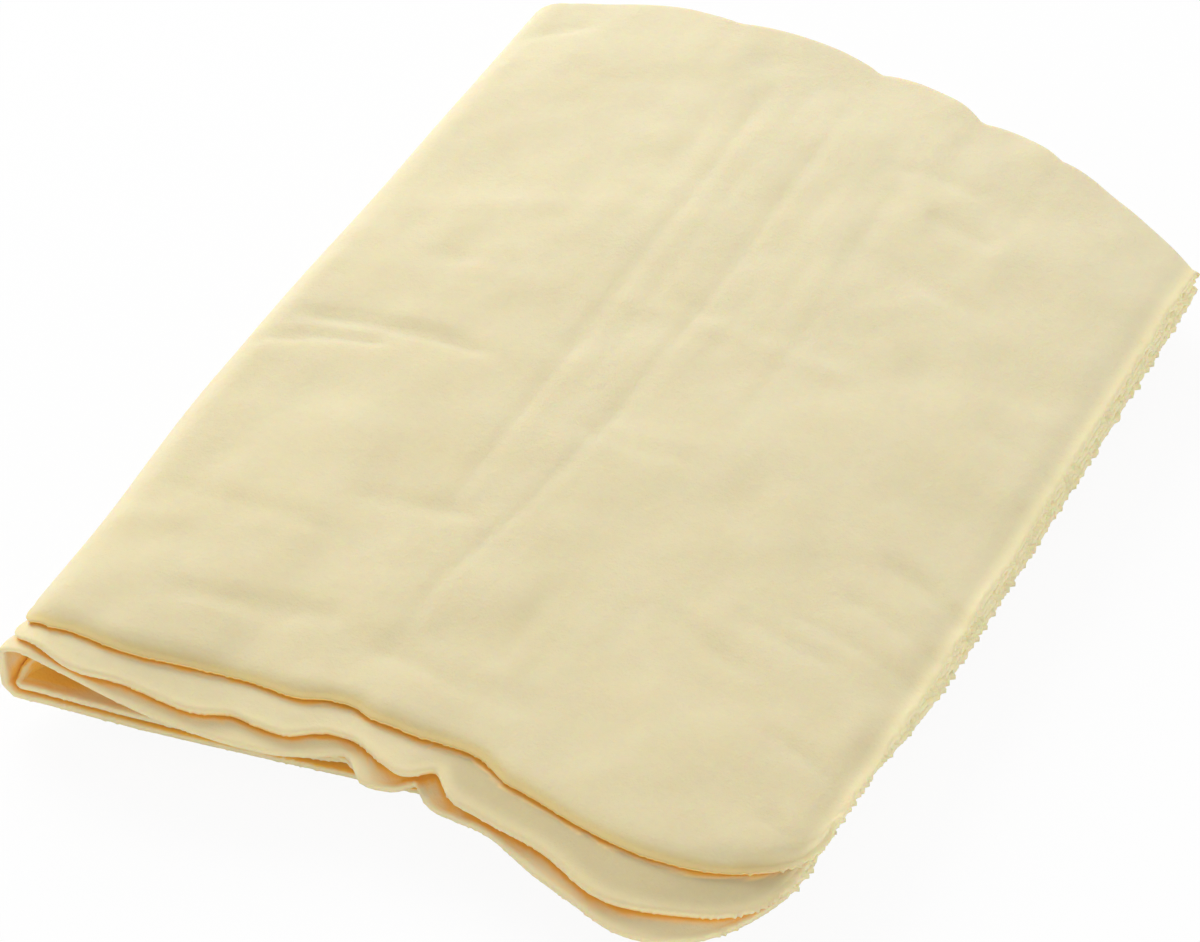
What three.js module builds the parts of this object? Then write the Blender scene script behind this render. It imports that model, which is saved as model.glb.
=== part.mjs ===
// A synthetic chamois: one rounded sheet, folded in half three times into eight layers.
//
// The first fold lies at the back, the second at the right inside the lower four layers, and the
// last at the left, where the four upper layers turn round into the four lower ones. The upper
// four end at the right in the sheet's own cut ends with its four rounded corners. Where the
// last fold meets the front, it stands open as a low loop.
//
// X runs from the last fold to the cut ends, Y to the first fold and Z up. While the sheet is
// being folded, x = 0 is the axis of the last fold and y = 0 the left end of the first one.
import * as THREE from "three";

// Driving dimensions, in millimetres.
const SHEET_LENGTH = 660; // flat, along the last two folds' run
const SHEET_WIDTH = 432; // flat, across the first fold
const THICKNESS = 2;
const LAYER_GAP = 0.3; // between layers that lie on each other
const CORNER_RADIUS = 32;
const PUCKER_LENGTH = 20; // length taken up by small puckers over the four panels
const END_OVERHANG = 8; // of the cut ends past the bend of the second fold

// How far the halves, stacks and bends of the hand-made folds miss each other.
const HALF_SETBACK = 3.5; // the upper half's front edge behind the lower half's, at the last fold
const SETBACK_STEP = 4.5; // added to it a little way from the fold
const SETBACK_RUN = 12;
const SETBACK_SPREAD = 3; // added to it by the cut ends
const LIP_ADVANCE = 1.5; // the third layer's front edge before the second layer's
const FRONT_DIP = 8; // the middle of the upper front edges, drawn back
const FRONT_DIP_RUN = 30;
const LOWER_FRONT_TURN = 0.19; // slope of the lower stack's front edge, as rise over run
const LOWER_BACK_TURN = 0.055; // slope of its back edge past the upper one's
const LOWER_SETBACK = 4.5; // the lowest pair's front edge behind the pair above it
const SECOND_FOLD_TURN = 8; // how far the second fold leans left at its back end
const BACK_BOW = 16.5; // the middle of the first fold beyond its ends
const BACK_FALL = 15; // its right end before its left end
const LOWER_BOW_SHARE = 0.6;
const FRONT_INSET = 6.5; // the last fold's front end, drawn in
const BACK_INSET = 2; // and its back end
const INSET_RUN = 85;

// How the layers lift off each other.
const CROWN = 5; // at the middle of the back
const CROWN_FRONT_SHARE = 0.35;
const LOOP_LIFT = 6.5; // of the upper layers at the open loop
const LOOP_REACH_X = 38;
const LOOP_REACH_Y = 45;
const CORNER_DROOP = 3; // of the rounded corner, past the lower stack
const CORNER_DROOP_RUN = 26;
const END_DROOP = 1; // of the cut ends, past the bend of the second fold
const LIP_DIPS = [
  // The third layer's buckled lip: place along the front edge, half width and depth.
  { at: 77, run: 5, depth: 2 },
  { at: 89.5, run: 4, depth: 2.4 },
  { at: 122, run: 26, depth: 0.8 },
];
const LIP_RUN = 8; // how far back from its edge the lip bends

// How finely the bends, corners and panels are divided.
const LAST_FOLD_STEPS = 8;
const SECOND_FOLD_STEPS = 4;
const INNER_FOLD_STEPS = 6;
const FIRST_FOLD_STEPS = 3;
const CORNER_STEPS = 5;
const UPPER_PANEL_SHARES = [0.06, 0.16, 0.29, 0.4, 0.5, 0.6, 0.7];
const LOWER_PANEL_SHARES = [0.2, 0.5, 0.8];
const LIP_STATIONS = [72, 83.5, 89.5]; // extra ones, where the lip is buckled
const DEPTH_SHARES = [0.26, 0.64]; // stations between the front edge and the first fold
const CORNER_MARGIN = 1; // between the last panel station and the start of the corner

const COLOUR = 0xe9dfbc;

// Sizes worked out from these.
const PITCH = THICKNESS + LAYER_GAP;
const LAYERS = 8; // numbered from 0, the lowest, which lies flat
const LOOP_FLOOR_LAYER = 2; // the loop opens between these two
const LOOP_ROOF_LAYER = 5;
const LOWER_STACK_TOP_LAYER = 3;
const HALF_PAIR = PITCH / 2; // from the middle of a pair of layers to the middle of each
const OUTER_FOLD_RADIUS = 3 * PITCH; // of the pair's middle round the last fold
const INNER_FOLD_RADIUS = PITCH;
const BENDS_LENGTH = Math.PI * (OUTER_FOLD_RADIUS + 2 * INNER_FOLD_RADIUS);
const SECOND_FOLD_REACH = INNER_FOLD_RADIUS + HALF_PAIR + THICKNESS / 2;
const UPPER_EXTRA = SECOND_FOLD_REACH + END_OVERHANG;
const LOWER_LENGTH = (SHEET_LENGTH - PUCKER_LENGTH - BENDS_LENGTH - 2 * UPPER_EXTRA) / 4;
const UPPER_LENGTH = LOWER_LENGTH + UPPER_EXTRA;
const PANEL_DEPTH = (SHEET_WIDTH - Math.PI * HALF_PAIR) / 2;
const UPPER_HALF = 1; // the half of the sheet that is uppermost, and its sign on a pair's normal
const LOWER_HALF = -1;

function smooth(value) {
  const t = Math.min(Math.max(value, 0), 1);
  return t * t * (3 - 2 * t);
}

function bump(distance, run) {
  return Math.exp(-((distance / run) ** 2));
}

// Height of the middle of a pair of layers above the sheet's underside.
function pairHeight(pairsBelow) {
  return THICKNESS / 2 + (2 * pairsBelow + 0.5) * PITCH;
}

// Front edge of the lower half of the sheet where nothing is set back, on the upper stack.
function upperFront(x) {
  const mean = -PANEL_DEPTH - HALF_SETBACK / 2;
  return mean + FRONT_DIP * bump(x - UPPER_LENGTH / 2, FRONT_DIP_RUN);
}

function lowerFront(x) {
  return -PANEL_DEPTH - HALF_SETBACK + LOWER_FRONT_TURN * x;
}

function setback(x) {
  const along = Math.max(x, 0);
  return (
    HALF_SETBACK +
    SETBACK_STEP * (1 - Math.exp(-along / SETBACK_RUN)) +
    SETBACK_SPREAD * (along / UPPER_LENGTH) ** 2
  );
}

// Front edge of one half of the sheet, on each of the four pairs that a strip of it runs through.
function frontOfPair(pair, half, x) {
  const behind = half === UPPER_HALF ? setback(x) : 0;
  if (pair === 0) return upperFront(x) + behind;
  if (pair === 1) return lowerFront(x) + LOWER_SETBACK + behind;
  if (pair === 2) return lowerFront(x) + behind;
  return upperFront(x) - LIP_ADVANCE + behind;
}

function bowAt(x) {
  const middle = UPPER_LENGTH / 2;
  return 1 - ((x - middle) / middle) ** 2;
}

function backOfPair(pair, x) {
  const fall = (-BACK_FALL * x) / UPPER_LENGTH;
  if (pair === 0 || pair === 3) return fall + BACK_BOW * bowAt(x);
  return fall + LOWER_BACK_TURN * x + BACK_BOW * LOWER_BOW_SHARE * bowAt(x);
}

// A value that changes smoothly from one pair to the next round the bend between them.
function alongPairs(at, valueOfPair) {
  const from = Math.floor(at.pair);
  const share = at.pair - from;
  if (share === 0) return valueOfPair(from);
  return valueOfPair(from) * (1 - share) + valueOfPair(from + 1) * share;
}

// Rounding of the sheet's corner: how far its front edge turns back near a cut end.
function cornerTurn(distance) {
  if (distance >= CORNER_RADIUS) return 0;
  const short = CORNER_RADIUS - distance;
  return CORNER_RADIUS - Math.sqrt(CORNER_RADIUS ** 2 - short ** 2);
}

// How far a layer is lifted off the flat stack.
function lift(x, y, layer) {
  const share = layer / (LAYERS - 1);
  const front = smooth((y + PANEL_DEPTH) / PANEL_DEPTH);
  const crown = CROWN * Math.max(bowAt(x), 0) * (CROWN_FRONT_SHARE + (1 - CROWN_FRONT_SHARE) * front);
  const loop =
    LOOP_LIFT *
    bump(Math.max(x, 0), LOOP_REACH_X) *
    bump(Math.max(y + PANEL_DEPTH, 0), LOOP_REACH_Y) *
    smooth((layer - LOOP_FLOOR_LAYER) / (LOOP_ROOF_LAYER - LOOP_FLOOR_LAYER));
  const aside = smooth((x - UPPER_LENGTH + CORNER_DROOP_RUN) / CORNER_DROOP_RUN);
  const before = smooth((CORNER_DROOP_RUN - PANEL_DEPTH - y) / CORNER_DROOP_RUN);
  const past = smooth((x - UPPER_LENGTH + END_OVERHANG) / END_OVERHANG);
  const droop = (CORNER_DROOP * aside * before + END_DROOP * past) * smooth(layer - LOWER_STACK_TOP_LAYER);
  return crown * share + loop - droop;
}

// The third layer's lip hangs in front of the fourth, so it can dip there.
function lipDip(x, behindEdge) {
  const depth = LIP_DIPS.reduce((sum, dip) => sum + dip.depth * bump(x - dip.at, dip.run), 0);
  return depth * (1 - smooth(behindEdge / LIP_RUN));
}

// The run of the pairs' middle through the stack, from cut end to cut end.
// angle is the direction of travel, and the normal points to the side of the upper half.
function station(x, z, angle, pair, fromEnd = Infinity) {
  return { x, z, normal: [Math.sin(angle), -Math.cos(angle)], pair, fromEnd };
}

function panelStations(height, length, shares, rightward, pair, cutEnd, extra = []) {
  const places = shares.map((share) => share * length).concat(extra);
  const corner = [];
  if (cutEnd) {
    for (let i = 0; i <= CORNER_STEPS; i++) {
      const turn = (Math.PI / 2) * (i / CORNER_STEPS);
      corner.push(length - CORNER_RADIUS * (1 - Math.cos(turn)));
    }
  }
  const all = places.filter((x) => !cutEnd || x < length - CORNER_RADIUS - CORNER_MARGIN).concat(corner);
  all.sort((a, b) => (rightward ? a - b : b - a));
  const angle = rightward ? 0 : Math.PI;
  return all.map((x) => station(x, height, angle, pair, cutEnd ? length - x : Infinity));
}

function bendStations(centreX, fromHeight, toHeight, leftBend, clockwise, pair, steps) {
  const radius = Math.abs(toHeight - fromHeight) / 2;
  const centre = (fromHeight + toHeight) / 2;
  const side = leftBend ? -1 : 1;
  const startsUp = Math.sign(fromHeight - toHeight);
  const stations = [];
  for (let i = 0; i <= steps; i++) {
    const turn = (Math.PI * i) / steps;
    const x = centreX + side * radius * Math.sin(turn);
    const z = centre + startsUp * radius * Math.cos(turn);
    // Travel starts towards the bend's side and turns through half a circle.
    const start = leftBend ? Math.PI : 0;
    const angle = start + (clockwise ? -turn : turn);
    stations.push(station(x, z, angle, pair + (1 - Math.cos(turn)) / 2));
  }
  return stations;
}

function foldedRun() {
  const [bottom, second, third, top] = [0, 1, 2, 3].map(pairHeight);
  return [
    ...panelStations(top, UPPER_LENGTH, UPPER_PANEL_SHARES, false, 0, true),
    ...bendStations(0, top, bottom, true, false, 0, LAST_FOLD_STEPS),
    ...panelStations(bottom, LOWER_LENGTH, LOWER_PANEL_SHARES, true, 1, false),
    ...bendStations(LOWER_LENGTH, bottom, second, false, false, 1, SECOND_FOLD_STEPS),
    ...panelStations(second, LOWER_LENGTH, LOWER_PANEL_SHARES, false, 2, false),
    ...bendStations(0, second, third, true, true, 2, INNER_FOLD_STEPS),
    ...panelStations(third, UPPER_LENGTH, UPPER_PANEL_SHARES, true, 3, true, LIP_STATIONS),
  ];
}

// One ring of the sheet's skin: the section of a pair of layers, joined at the first fold.
function sectionRing(at) {
  const turned = cornerTurn(at.fromEnd);
  const front = (half) => alongPairs(at, (pair) => frontOfPair(pair, half, at.x)) + turned;
  const back = alongPairs(at, (pair) => backOfPair(pair, at.x));
  const upperEdge = front(UPPER_HALF);
  const lowerEdge = front(LOWER_HALF);
  const shared = [0, ...DEPTH_SHARES].map((share) => upperEdge + share * (back - upperEdge));
  const outer = [];
  const inner = [];
  // turn is 0 along the upper half and half a circle along the lower one.
  const add = (y, turn) => {
    for (const [skin, radius] of [
      [outer, HALF_PAIR + THICKNESS / 2],
      [inner, HALF_PAIR - THICKNESS / 2],
    ]) {
      skin.push({
        y: y + radius * Math.sin(turn),
        side: radius * Math.cos(turn),
        middle: HALF_PAIR * Math.cos(turn),
      });
    }
  };
  shared.forEach((y) => add(y, 0));
  for (let i = 0; i <= FIRST_FOLD_STEPS; i++) add(back, (Math.PI * i) / FIRST_FOLD_STEPS);
  shared.reverse().forEach((y) => add(y, Math.PI));
  add(lowerEdge, Math.PI);
  return outer.concat(inner.reverse()).map((point) => place(at, point, lowerEdge));
}

// The last fold is drawn in at both of its ends, and less the further a point lies from it.
function foldInset(x, depth) {
  const reach = Math.min(Math.max(1 - x / UPPER_LENGTH, 0), 1) ** 2;
  const atFront = FRONT_INSET * (1 - smooth(depth / INSET_RUN));
  const atBack = BACK_INSET * (1 - smooth((PANEL_DEPTH - depth) / INSET_RUN));
  return reach * (atFront + atBack);
}

// Where a point of a section ends up, once the stack is skewed, lifted and drawn in.
function place(at, point, lowerEdge) {
  const [nx, nz] = at.normal;
  const x = at.x + point.side * nx;
  const z = at.z + point.side * nz;
  const layer = (at.z + point.middle * nz - THICKNESS / 2) / PITCH;
  const depth = point.y + PANEL_DEPTH;
  const lowerShare = alongPairs(at, (pair) => (pair === 1 || pair === 2 ? 1 : 0));
  const lean = (SECOND_FOLD_TURN * lowerShare * Math.max(x, 0) * depth) / (LOWER_LENGTH * PANEL_DEPTH);
  const onLip = at.pair === 3 && point.middle === -HALF_PAIR;
  const dip = onLip ? lipDip(at.x, point.y - lowerEdge) : 0;
  return [x + foldInset(x, depth) - lean, point.y, z + lift(at.x, point.y, layer) - dip];
}

// The skin between the rings, closed at both cut ends. Every panel's quads are split the same way
// as seen from above, so that layers which bend together keep their gap.
function sheetGeometry() {
  const rings = foldedRun().map(sectionRing);
  const count = rings[0].length;
  const positions = rings.flat(2);
  const index = [];
  const quad = (a, b, c, d) => index.push(a, b, c, a, c, d);
  for (let i = 0; i + 1 < rings.length; i++) {
    for (let j = 0; j < count; j++) {
      const after = (j + 1) % count;
      const here = i * count;
      const next = here + count;
      const rightward = rings[i + 1][j][0] > rings[i][j][0];
      const frontward = rings[i][after][1] < rings[i][j][1];
      if (rightward === frontward) quad(here + j, here + after, next + after, next + j);
      else quad(here + after, next + after, next + j, here + j);
    }
  }
  const last = (rings.length - 1) * count;
  for (let j = 0; j + 1 < count / 2; j++) {
    const across = count - 1 - j;
    quad(j, across, across - 1, j + 1);
    quad(last + j, last + j + 1, last + across - 1, last + across);
  }
  const geometry = new THREE.BufferGeometry();
  geometry.setAttribute("position", new THREE.Float32BufferAttribute(positions, 3));
  geometry.setIndex(index);
  geometry.computeBoundingBox();
  const { min, max } = geometry.boundingBox;
  geometry.translate(-(min.x + max.x) / 2, -(min.y + max.y) / 2, -min.z);
  geometry.computeVertexNormals();
  return geometry;
}

const chamois = new THREE.Group();
const cloth = new THREE.Mesh(
  sheetGeometry(),
  new THREE.MeshStandardMaterial({ color: COLOUR, roughness: 0.95, metalness: 0, flatShading: true }),
);
cloth.name = "chamois_sheet";
chamois.add(cloth);

export default chamois;
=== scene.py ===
"""A synthetic chamois, folded in half three times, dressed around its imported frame."""
import math

import bpy
import numpy as np
from bpy.props import FloatProperty, FloatVectorProperty, PointerProperty
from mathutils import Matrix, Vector
from mathutils.bvhtree import BVHTree


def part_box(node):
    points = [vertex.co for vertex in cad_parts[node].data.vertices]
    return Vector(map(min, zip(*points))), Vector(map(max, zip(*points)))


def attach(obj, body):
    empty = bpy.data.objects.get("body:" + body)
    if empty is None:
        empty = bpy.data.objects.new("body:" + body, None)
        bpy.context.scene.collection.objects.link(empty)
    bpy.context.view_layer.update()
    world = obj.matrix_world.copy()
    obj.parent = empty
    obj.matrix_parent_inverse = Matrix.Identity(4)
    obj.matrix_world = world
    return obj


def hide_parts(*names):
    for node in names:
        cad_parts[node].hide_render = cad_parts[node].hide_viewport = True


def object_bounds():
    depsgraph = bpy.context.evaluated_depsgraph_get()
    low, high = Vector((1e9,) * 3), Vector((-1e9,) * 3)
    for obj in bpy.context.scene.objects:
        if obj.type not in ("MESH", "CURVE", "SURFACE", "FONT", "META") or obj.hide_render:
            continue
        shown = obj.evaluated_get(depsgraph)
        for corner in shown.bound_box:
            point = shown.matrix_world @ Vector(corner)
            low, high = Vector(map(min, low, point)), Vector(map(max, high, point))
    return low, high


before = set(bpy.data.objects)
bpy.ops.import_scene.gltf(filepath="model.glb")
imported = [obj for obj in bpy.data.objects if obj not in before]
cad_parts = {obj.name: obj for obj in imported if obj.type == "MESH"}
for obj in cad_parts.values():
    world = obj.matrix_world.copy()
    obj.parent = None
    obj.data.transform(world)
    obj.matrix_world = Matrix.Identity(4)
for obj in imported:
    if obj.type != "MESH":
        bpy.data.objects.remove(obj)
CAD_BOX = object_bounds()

bl_info = {
    "name": "Folded Chamois",
    "version": (1, 0, 0),
    "blender": (4, 5, 0),
    "location": "View3D > Sidebar > Chamois",
    "description": "A synthetic chamois cloth folded into eight layers, with a plain stage",
    "category": "Add Mesh",
}

MM = 0.001

# The view: where the camera stands and what it looks at. The lens and sensor are in millimetres.
CAMERA_AZIMUTH = 28.5
CAMERA_ELEVATION = 44.5
CAMERA_DISTANCE = 897 * MM
CAMERA_TARGET = (1.1 * MM, -17.71 * MM, 16 * MM)
FOCAL_LENGTH = 136.65
SENSOR_WIDTH = 36

# The stage: how far under the cloth the floor lies, where each lamp stands and the side of its square.
FLOOR_GAP = 0.2 * MM
FLOOR_PAINT = (0.9, 0.9, 0.9, 1)
WHITE = (1, 1, 1, 1)
KEY_PLACE = (-1.25, 0.8, 1.05)
KEY_SIZE = 1.1
SIDE_PLACE = (1.25, -0.05, 0.35)
SIDE_SIZE = 0.9
FRONT_PLACE = (0.35, -1.25, 0.35)
FRONT_SIZE = 1.0

NODE = "chamois_sheet"
BODY = "root"

# How the hand-made folds miss each other, as on the solid.
PUCKER_LENGTH = 20 * MM
END_OVERHANG = 8 * MM
HALF_SETBACK = 3.5 * MM
SETBACK_STEP = 4.5 * MM
SETBACK_RUN = 12 * MM
SETBACK_SPREAD = 3 * MM
LIP_ADVANCE = 1.5 * MM
LOOP_SETBACK = 7 * MM  # how much further back the last fold's inner layer lies under the loop's roof
LOOP_SETBACK_RUN = 30 * MM
FLOOR_SETBACK = 0.3 * MM  # how far the layer on the loop's floor lies behind its other half's edge
FLOOR_SETBACK_END = 55 * MM  # up to there, past which it falls back as the others do
FLOOR_SETBACK_RUN = 40 * MM
FILL_PLACE = 67 * MM  # where the inner layers come to the front under the lip
FILL_RUN = 10 * MM
FILL_SHARE = 0.92
FRONT_DIP = 8 * MM
FRONT_DIP_RUN = 30 * MM
LOWER_FRONT_TURN = 0.19
LOWER_BACK_TURN = 0.055
LOWER_SETBACK = 4.5 * MM
SECOND_FOLD_TURN = 8 * MM
BACK_BOW = 16.5 * MM
BACK_FALL = 15 * MM
LOWER_BOW_SHARE = 0.6
FRONT_INSET = 7.5 * MM
BACK_INSET = 0.5 * MM
INSET_RUN = 85 * MM
BACK_END_INSET = 2.6 * MM  # of the cut ends, at the back

# How each front edge and the first fold sway from an even line: where, over what half width, and how
# far to the back. x is 0 at the last fold.
TOP_EDGE_SWAYS = [
    (15, 12, -2.4), (38, 17, 1.7), (43, 8, 0.9), (57, 4, 1.3), (63, 5, 1.6), (68, 4, -0.8), (77, 6, -1.2),
    (92, 6, 1.0), (98, 4, -0.8), (146, 11.5, 3.8),
]
BAND_EDGE_SWAYS = [
    (9, 8, -2.6), (41, 4, 1.2), (46, 9, 2.4), (59, 4.5, 2.6), (66, 6.5, 3.8), (79, 3, -0.7),
    (84.8, 3.9, 3.5), (92, 3, -0.3), (112, 12, 1.9), (124, 8, -1.3), (143, 8, 1.5),
]
LIP_EDGE_SWAYS = [
    (19, 18, -1.35), (60, 6, 1.2), (65.5, 4.5, 3.0), (72, 2.8, -1.6), (81, 3, 3.0), (90, 2.5, 1.0),
    (101, 9, 1.6), (134, 11, -2.6), (155, 9, 3.0),
]
LOWER_EDGE_SWAYS = [(25, 40, 0.4)]
BACK_REACH = 2.2 * MM
BACK_END_REACH = 1.2 * MM
BACK_CUSPS = [(38, 6, 1.2), (72.5, 6, 2.6), (99, 6, 3.2), (119, 4, 1.4)]
BACK_SWAYS = [(97, 30, -1.0), (20, 10, 1.4)]

# The front of the last fold's inner loop flares out to the left, past the folds round it.
LOOP_FLARE = 5.5 * MM
LOOP_FLARE_DEPTH = 14 * MM
LOOP_FLARE_RUN = 14 * MM
LOOP_FLARE_TOP_LAYER = 6.3  # where the flare ends above
LOOP_FLARE_LAYERS = 2.5  # over how many layers it grows under there
OUTER_SWEEP = 12 * MM  # how far the folds round it run to the back as they turn down
OUTER_SWEEP_RUN = 25 * MM
OUTER_SWEEP_PAIRS = (0.1, 1.5)  # from which pair to which, counted from the top pair
OUTER_SWEEP_EASE = 0.4

# The top layer's corner at the cut end is drawn out further than those under it.
TOP_CORNER_RADIUS = 20 * MM
UNDER_CORNER_RADIUS = 29.5 * MM
CORNER_PULL = 3.1 * MM  # how far the cut ends draw in beside the front corners
CORNER_PULL_PLACE = 44 * MM
CORNER_PULL_RUN = 20 * MM

# How the layers lift off each other, as on the solid.
CROWN = 5 * MM
CROWN_FRONT_SHARE = 0.35
LOOP_REACH_X = 38 * MM
LOOP_REACH_Y = 45 * MM
CORNER_DROOP = 4.2 * MM
CORNER_DROOP_RUN = 26 * MM
END_DROOP = 1 * MM
LIP_DIPS = [(77 * MM, 5 * MM, 2 * MM), (89.5 * MM, 4 * MM, 2.4 * MM), (122 * MM, 26 * MM, 0.8 * MM)]
LIP_RUN = 8 * MM

LAYERS = 8
TOP_PAIR, BOTTOM_PAIR, SECOND_PAIR, THIRD_PAIR = range(4)
LOWER_PAIRS = (BOTTOM_PAIR, SECOND_PAIR)
ON_PAIR = 0.001  # how near a pair's number a place counts as on its flat
LOOP_FLOOR_LAYER = 2.9
LOOP_ROOF_LAYER = 4.1
LOWER_STACK_TOP_LAYER = 3

# Steps of the outer skin along each stretch of the run. The inner skin keeps one in so many.
TOP_STEPS, LAST_BEND_STEPS, LOWER_STEPS, SECOND_BEND_STEPS, INNER_BEND_STEPS = 84, 24, 36, 8, 16
CORNER_STEPS = 16
INNER_EVERY = 3
INNER_SHARES = (1, 3, 3, 2, 3, 2, 2)  # the same for each stretch of the run
# And across the sheet: near the upper edge, the rest of that half, the first fold, and the same back.
EDGE_STEPS, UPPER_REST_STEPS, FIRST_FOLD_STEPS, LOWER_REST_STEPS = 12, 99, 12, 42
EDGE_SHARE = 0.085  # of a half, next to its front edge
REACH_SAMPLES = (400, 200)  # places along and across the sheet that its box is measured at

EDGE_ROUND = 1.0 * MM  # how far the cut edge reaches past the flat of the skins
EDGE_WEAR = 0.3 * MM  # how much thinner the sheet gets towards its front edges, from its upper side
EDGE_WEAR_RUN = 1.8 * MM
TOP_EDGE_WEAR = 0.95 * MM  # and at the top layer's front edge, which rolls under
TOP_EDGE_WEAR_RUN = 2.0 * MM
ROLLED_TINT_RUN = 1.2 * MM  # over what width that edge's painted shade shows
EDGE_CROWD = 1.7  # how much closer the lines across the sheet stand towards its front edges
EDGE_ROWS = [(60, 0.5), (22, 1), (-22, 1), (-60, 0.5)]  # degrees round the cut edge, and share of a tooth
EDGE_SQUARENESS = 0.6  # 1 makes the cut edge round, and less makes it squarer
EDGE_TANGENT_SPAN = 3  # places round the rim that its direction is taken over, each way
TEETH_SEED = 7
TOOTH_SAMPLES = 4
TOOTH_SHARE = 0.4
SPIKE_SHARE = 0.2  # of the samples, that stand out as a spike
SPIKE_REACH = (0.6, 2.0)  # how far, as shares of the tooth depth
FRONT_SMOOTHNESS = 0.72  # how much of the teeth is worn off along the fronts

# Relief of the top, in the part's own frame: marks that the pack's own folds pressed in, and
# wrinkles. Each has its points, its half width and its depth, which is negative on a ridge.
MARKS = [
    ([(-1.6, 116), (-0.5, 25), (-2, -8), (-5, -35), (-9.5, -62), (-8.5, -85), (-6, -99)], 1.2, 0.17),
    ([(-19.5, 116), (-18.5, 60), (-18.3, 0), (-18.5, -35), (-17.5, -60)], 1.6, 0.16),
    ([(-11, 112), (-11.5, 60), (-11, 20), (-10.5, -12)], 1.3, 0.07),
    ([(-26.5, 96), (-26.5, 50), (-26, 5)], 2.2, 0.06),
    ([(7, 92), (7.5, 40), (7, -8)], 1.6, 0.06),
    ([(13, 105), (13, 60), (12.5, 25)], 1.6, 0.06),
    ([(17.5, 108), (19, 60), (21, 30), (21, -8)], 1.6, 0.1),
    ([(26, 108), (25, 96)], 2.0, 0.15),
    ([(45, 104), (44.5, 74)], 2.0, 0.1),
    ([(-36, 114), (-36, 88)], 2.4, 0.07),
]
WRINKLES = [
    ([(-14, -83), (4, -83.5), (26, -82)], 2.8, 0.45),
    ([(-10, -12.5), (6, -13), (21, -11)], 1.9, 0.22),
    ([(-24, 23.5), (4, 24), (40, 25)], 2.4, -0.18),
    ([(-38, -50), (-24, -46.5), (-10, -43.5)], 2.0, 0.32),
    ([(-77, -10), (-60, -5.5), (-45, -3), (-28, -2.5)], 1.7, 0.5),
    ([(-82, -20), (-66, -13), (-50, -9)], 1.5, 0.42),
    ([(-54, -92), (-38, -85.5), (-18, -78.5)], 2.5, 0.38),
    ([(-76, -65), (-48, -61.5), (-28, -60)], 2.5, 0.2),
    ([(-76, -80), (-58, -70)], 3.0, -0.2),
    ([(-62, 34), (-36, 45)], 2.6, -0.14),
    ([(-62, 17), (-36, 24)], 2.6, 0.16),
    ([(-57, 81), (-36, 92)], 3.0, 0.16),
    ([(-82, 88), (-62, 101)], 1.6, 0.25),
    ([(11, 85), (24, 87.5), (38, 85.5)], 2.0, 0.3),
    ([(26, 76), (46, 73.5)], 2.2, 0.32),
    ([(27, 59), (40, 55.5), (54, 54)], 2.4, 0.26),
    ([(60, 26), (72, 23), (86, 18)], 1.9, 0.15),
    ([(60, -15.5), (72, -18), (86, -24)], 2.0, 0.4),
    ([(55, -27), (68, -29), (86, -35)], 1.6, 0.24),
    ([(52, -37), (68, -38.5), (86, -43)], 1.6, 0.22),
    ([(30, -47), (42, -52), (56, -55)], 2.2, 0.3),
    ([(42, -43), (68, -45)], 1.8, 0.2),
    ([(60, -65), (74, -69), (86, -76)], 1.8, 0.32),
    ([(70, -83), (77, -87), (86, -91)], 1.5, 0.36),
    ([(66, -95), (79, -100)], 2.0, 0.34),
    ([(26, -46), (27, -64)], 2.6, 0.2),
    ([(10, -50), (11, -76)], 2.2, 0.12),
    ([(18, -55), (18, -78)], 2.2, 0.12),
]
HOLLOWS = [
    ((56, 68), 9, 0.25), ((52, -24), 6, 0.22), ((84, -61), 4.5, 0.5), ((68, 40), 7, 0.25),
    ((-23, 104), 4, 0.3),
]
# Soft unevenness: its size, height and seed.
BROAD_PUFFS = [(34, 0.34, 11)]
FINE_PUFFS = [(15, 0.29, 12), (6.5, 0.12, 13)]
BROAD_DEPTH = 1.3  # the most that the gaps between the layers can take up, in millimetres
FINE_DEPTH = 1.2  # the most that the top layer's thickness can take up
STROKE_FADE = 0.18  # share of a stroke's length over which it fades out

WORN_TINT = 0.6  # how much of the cut face's tint, its own tone with painted light, the worn skin beside it takes
END_FUZZ_RUN = 5 * MM  # how far in from the cut ends their pale fuzz fills the gaps between layers
END_FUZZ = 0.75
FUZZ_RUN = 1.6 * MM  # how far in from the cut ends that fuzz shows on the skins
END_PALENESS = 0.7
INNER_SHADE_REACH = 78 * MM  # how far from the cut ends the inner side takes painted shade
INNER_SHADE_RUN = 12 * MM

# The suede's tones and nap. A scale is in patches per metre.
BLOTCH_SCALE = 55
BLOTCH_SHARE = 1.2  # how strongly the blotches show
MOTTLE_SCALE = 420
MOTTLE_ROUGHNESS = 0.62
MOTTLE = 0.015  # how much lighter or darker the nap's small patches are
NOISE_SPREAD = 4  # makes a noise that stays within a quarter of its middle reach from -1 to 1
NAP_SCALE = 1800
NAP_ROUGHNESS = 0.6
NAP_SHARE = 0.6  # of its height, to that of the lumps under it
LUMP_SCALE = 480
NAP_STRENGTH = 0.65
NAP_DEPTH = 0.25 * MM
SUEDE = {
    "Roughness": 0.95,
    "Specular IOR Level": 0.15,
    "Subsurface Weight": 0.6,
    "Subsurface Scale": 1.2 * MM,
    "Subsurface Radius": (1.0, 0.5, 0.14),
    "Sheen Weight": 0.12,
    "Sheen Roughness": 0.6,
}
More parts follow.
